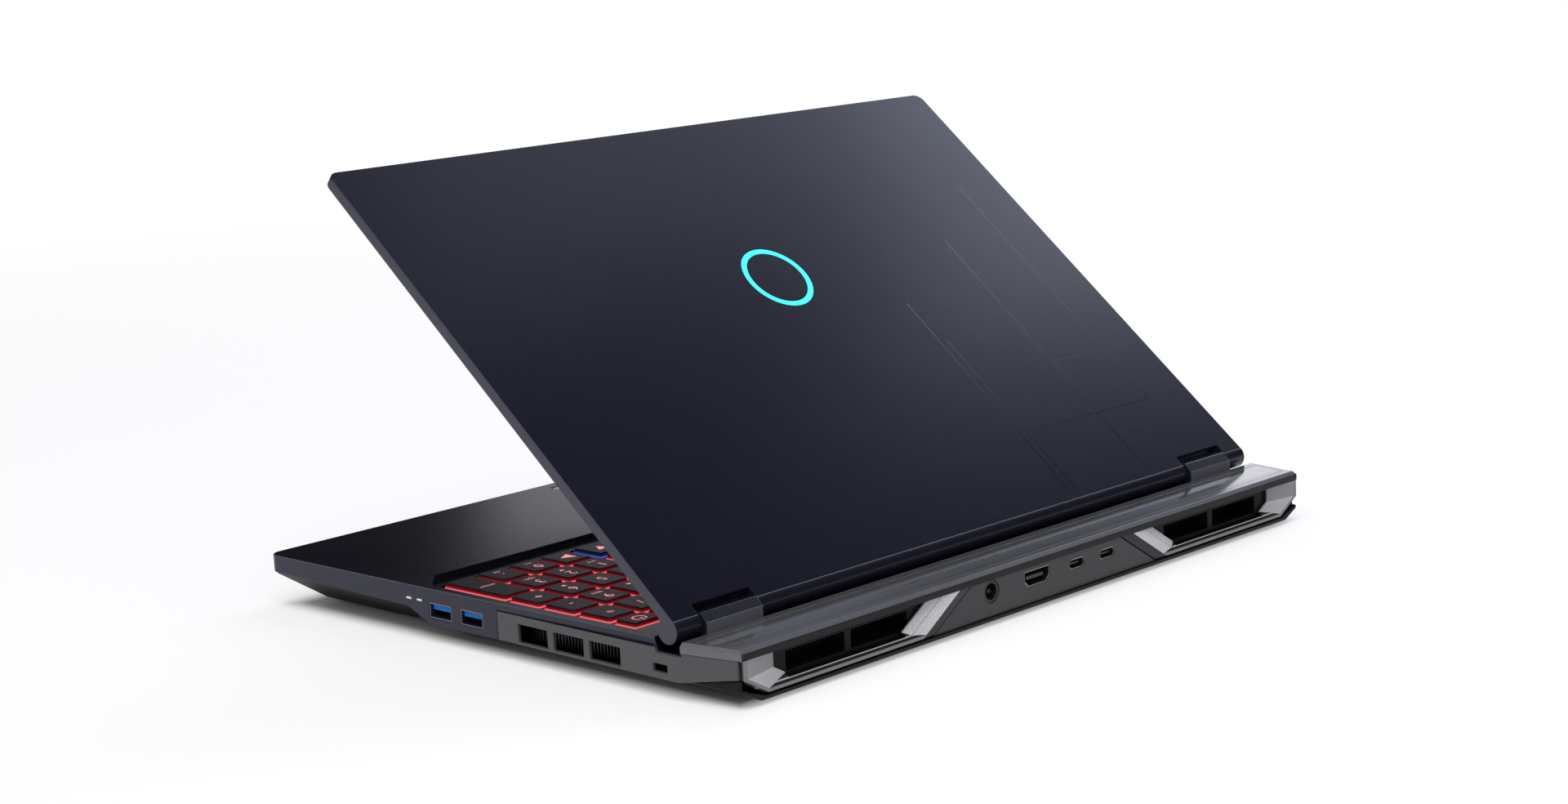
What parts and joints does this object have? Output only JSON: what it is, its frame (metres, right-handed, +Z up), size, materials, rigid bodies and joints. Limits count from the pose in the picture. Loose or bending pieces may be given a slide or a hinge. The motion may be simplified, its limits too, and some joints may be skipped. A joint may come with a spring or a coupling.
{
  "type": "laptop computer",
  "caption": "Clamshell laptop with a hinged lid, sunk lit keyboard with number pad, touchpad, rear vents, side vents and ports.",
  "frame": {"origin": "on the desk, under the middle of the base's footprint", "axes": "+X to the user's right, +Y to the rear, +Z up"},
  "size_m": [0.36, 0.2754, 0.1841],
  "materials": {
    "navy_metal": "painted navy black, fine satin",
    "dark_plastic": "fine grain",
    "smoked_gloss": "polished",
    "silver_trim": "silver paint, satin",
    "key_plastic": "satin",
    "black_rubber": "matte",
    "steel": "plain",
    "copper": "plain copper",
    "fin_metal": "blackened",
    "board": "solder mask",
    "pouch_foil": "wrapped pouch cells",
    "black_plastic": "plain",
    "screen_glass": "anti-glare",
    "pad_glass": "satin",
    "red_light": "lit light guide",
    "teal_light": "lit diffuser",
    "white_light": "light guide"
  },
  "bodies": {
    "base": {"bottom_cover": "dark_plastic", "top_case": "navy_metal", "side_panels": "dark_plastic", "tail_cap": "dark_plastic", "tail_plate": "smoked_gloss", "rear_port_panel": "dark_plastic", "vent_frames": "dark_plastic", "vent_trims": "silver_trim", "hinge_covers": "navy_metal", "hinge_base_brackets": "steel", "rubber_feet": "black_rubber", "bottom_screws": "steel", "keyboard_plate": "steel", "keyboard_backlight": "red_light", "motherboard": "board", "processors": "board", "heat_pipes": "copper", "fin_stacks": "fin_metal", "fan_housings": "dark_plastic", "battery_pack": "pouch_foil", "speakers": "dark_plastic", "memory_modules": "board", "storage_drives": "board", "wireless_card": "board", "usb_a_ports": "steel", "usb_c_ports": "steel", "hdmi_port": "steel", "power_jack": "black_plastic", "audio_jack": "black_plastic", "status_lights": "white_light"},
    "lid": {"lid_back_cover": "navy_metal", "screen_bezel": "dark_plastic", "display_panel": "screen_glass", "camera_module": "board", "lid_bumpers": "black_rubber", "lid_light_ring": "teal_light", "hinge_lid_brackets": "steel"},
    "fan_right": {"fan_rotor_right": "dark_plastic"},
    "fan_left": {"fan_rotor_left": "dark_plastic"},
    "touchpad": {"touchpad": "pad_glass"},
    "key_right_arrow": {"key_right_arrow": "key_plastic"},
    "key_pad_0": {"key_pad_0": "key_plastic"},
    "key_pad_point": {"key_pad_point": "key_plastic"},
    "key_pad_enter": {"key_pad_enter": "key_plastic"},
    "key_pad_2": {"key_pad_2": "key_plastic"},
    "key_pad_3": {"key_pad_3": "key_plastic"},
    "key_pad_5": {"key_pad_5": "key_plastic"},
    "key_pad_6": {"key_pad_6": "key_plastic"},
    "key_pad_plus": {"key_pad_plus": "key_plastic"},
    "key_pad_9": {"key_pad_9": "key_plastic"},
    "key_pad_minus": {"key_pad_minus": "key_plastic"},
    "key_pad_times": {"key_pad_times": "key_plastic"},
    "key_power": {"key_power": "key_plastic"},
    "key_space": {"key_space": "key_plastic"},
    "keys_bottom_row": {"keys_bottom_row": "key_plastic"},
    "keys_shift_row": {"keys_shift_row": "key_plastic"},
    "keys_home_row": {"keys_home_row": "key_plastic"},
    "keys_tab_row": {"keys_tab_row": "key_plastic"},
    "keys_number_row": {"keys_number_row": "key_plastic"},
    "keys_function_row": {"keys_function_row": "key_plastic"}
  },
  "joints": [
    {"name": "lid_hinge", "type": "hinge", "parent": "base", "child": "lid", "pos_m": [0, 0.1044, 0.024], "axis": [-1, 0, 0], "range_deg": [-40.25, 99.75]},
    {"name": "fan_right_spin", "type": "hinge", "parent": "base", "child": "fan_right", "pos_m": [0.115, 0.0553, 0.009], "axis": [0, 0, 1], "continuous": true},
    {"name": "fan_left_spin", "type": "hinge", "parent": "base", "child": "fan_left", "pos_m": [-0.115, 0.0553, 0.009], "axis": [0, 0, 1], "continuous": true},
    {"name": "touchpad_click", "type": "hinge", "parent": "base", "child": "touchpad", "pos_m": [-0.0365, -0.0522, 0.0208], "axis": [1, 0, 0], "range_deg": [0, 0.4], "stiffness_Nm_per_rad": 6, "springref_deg": -0.69},
    {"name": "key_right_arrow_press", "type": "slide", "parent": "base", "child": "key_right_arrow", "axis": [0, 0, -1], "range_m": [0, 0.0014], "stiffness_N_per_m": 350, "springref_m": -0.0008},
    {"name": "key_pad_0_press", "type": "slide", "parent": "base", "child": "key_pad_0", "axis": [0, 0, -1], "range_m": [0, 0.0014], "stiffness_N_per_m": 350, "springref_m": -0.0008},
    {"name": "key_pad_point_press", "type": "slide", "parent": "base", "child": "key_pad_point", "axis": [0, 0, -1], "range_m": [0, 0.0014], "stiffness_N_per_m": 350, "springref_m": -0.0008},
    {"name": "key_pad_enter_press", "type": "slide", "parent": "base", "child": "key_pad_enter", "axis": [0, 0, -1], "range_m": [0, 0.0014], "stiffness_N_per_m": 350, "springref_m": -0.0008},
    {"name": "key_pad_2_press", "type": "slide", "parent": "base", "child": "key_pad_2", "axis": [0, 0, -1], "range_m": [0, 0.0014], "stiffness_N_per_m": 350, "springref_m": -0.0008},
    {"name": "key_pad_3_press", "type": "slide", "parent": "base", "child": "key_pad_3", "axis": [0, 0, -1], "range_m": [0, 0.0014], "stiffness_N_per_m": 350, "springref_m": -0.0008},
    {"name": "key_pad_5_press", "type": "slide", "parent": "base", "child": "key_pad_5", "axis": [0, 0, -1], "range_m": [0, 0.0014], "stiffness_N_per_m": 350, "springref_m": -0.0008},
    {"name": "key_pad_6_press", "type": "slide", "parent": "base", "child": "key_pad_6", "axis": [0, 0, -1], "range_m": [0, 0.0014], "stiffness_N_per_m": 350, "springref_m": -0.0008},
    {"name": "key_pad_plus_press", "type": "slide", "parent": "base", "child": "key_pad_plus", "axis": [0, 0, -1], "range_m": [0, 0.0014], "stiffness_N_per_m": 350, "springref_m": -0.0008},
    {"name": "key_pad_9_press", "type": "slide", "parent": "base", "child": "key_pad_9", "axis": [0, 0, -1], "range_m": [0, 0.0014], "stiffness_N_per_m": 350, "springref_m": -0.0008},
    {"name": "key_pad_minus_press", "type": "slide", "parent": "base", "child": "key_pad_minus", "axis": [0, 0, -1], "range_m": [0, 0.0014], "stiffness_N_per_m": 350, "springref_m": -0.0008},
    {"name": "key_pad_times_press", "type": "slide", "parent": "base", "child": "key_pad_times", "axis": [0, 0, -1], "range_m": [0, 0.0014], "stiffness_N_per_m": 350, "springref_m": -0.0008},
    {"name": "key_power_press", "type": "slide", "parent": "base", "child": "key_power", "axis": [0, 0, -1], "range_m": [0, 0.0014], "stiffness_N_per_m": 350, "springref_m": -0.0008},
    {"name": "key_space_press", "type": "slide", "parent": "base", "child": "key_space", "axis": [0, 0, -1], "range_m": [0, 0.0014], "stiffness_N_per_m": 350, "springref_m": -0.0008},
    {"name": "keys_bottom_row_press", "type": "slide", "parent": "base", "child": "keys_bottom_row", "axis": [0, 0, -1], "range_m": [0, 0.0014], "stiffness_N_per_m": 3150, "springref_m": -0.0008},
    {"name": "keys_shift_row_press", "type": "slide", "parent": "base", "child": "keys_shift_row", "axis": [0, 0, -1], "range_m": [0, 0.0014], "stiffness_N_per_m": 4900, "springref_m": -0.0008},
    {"name": "keys_home_row_press", "type": "slide", "parent": "base", "child": "keys_home_row", "axis": [0, 0, -1], "range_m": [0, 0.0014], "stiffness_N_per_m": 4900, "springref_m": -0.0008},
    {"name": "keys_tab_row_press", "type": "slide", "parent": "base", "child": "keys_tab_row", "axis": [0, 0, -1], "range_m": [0, 0.0014], "stiffness_N_per_m": 5600, "springref_m": -0.0008},
    {"name": "keys_number_row_press", "type": "slide", "parent": "base", "child": "keys_number_row", "axis": [0, 0, -1], "range_m": [0, 0.0014], "stiffness_N_per_m": 5950, "springref_m": -0.0008},
    {"name": "keys_function_row_press", "type": "slide", "parent": "base", "child": "keys_function_row", "axis": [0, 0, -1], "range_m": [0, 0.0014], "stiffness_N_per_m": 6300, "springref_m": -0.0008}
  ]
}
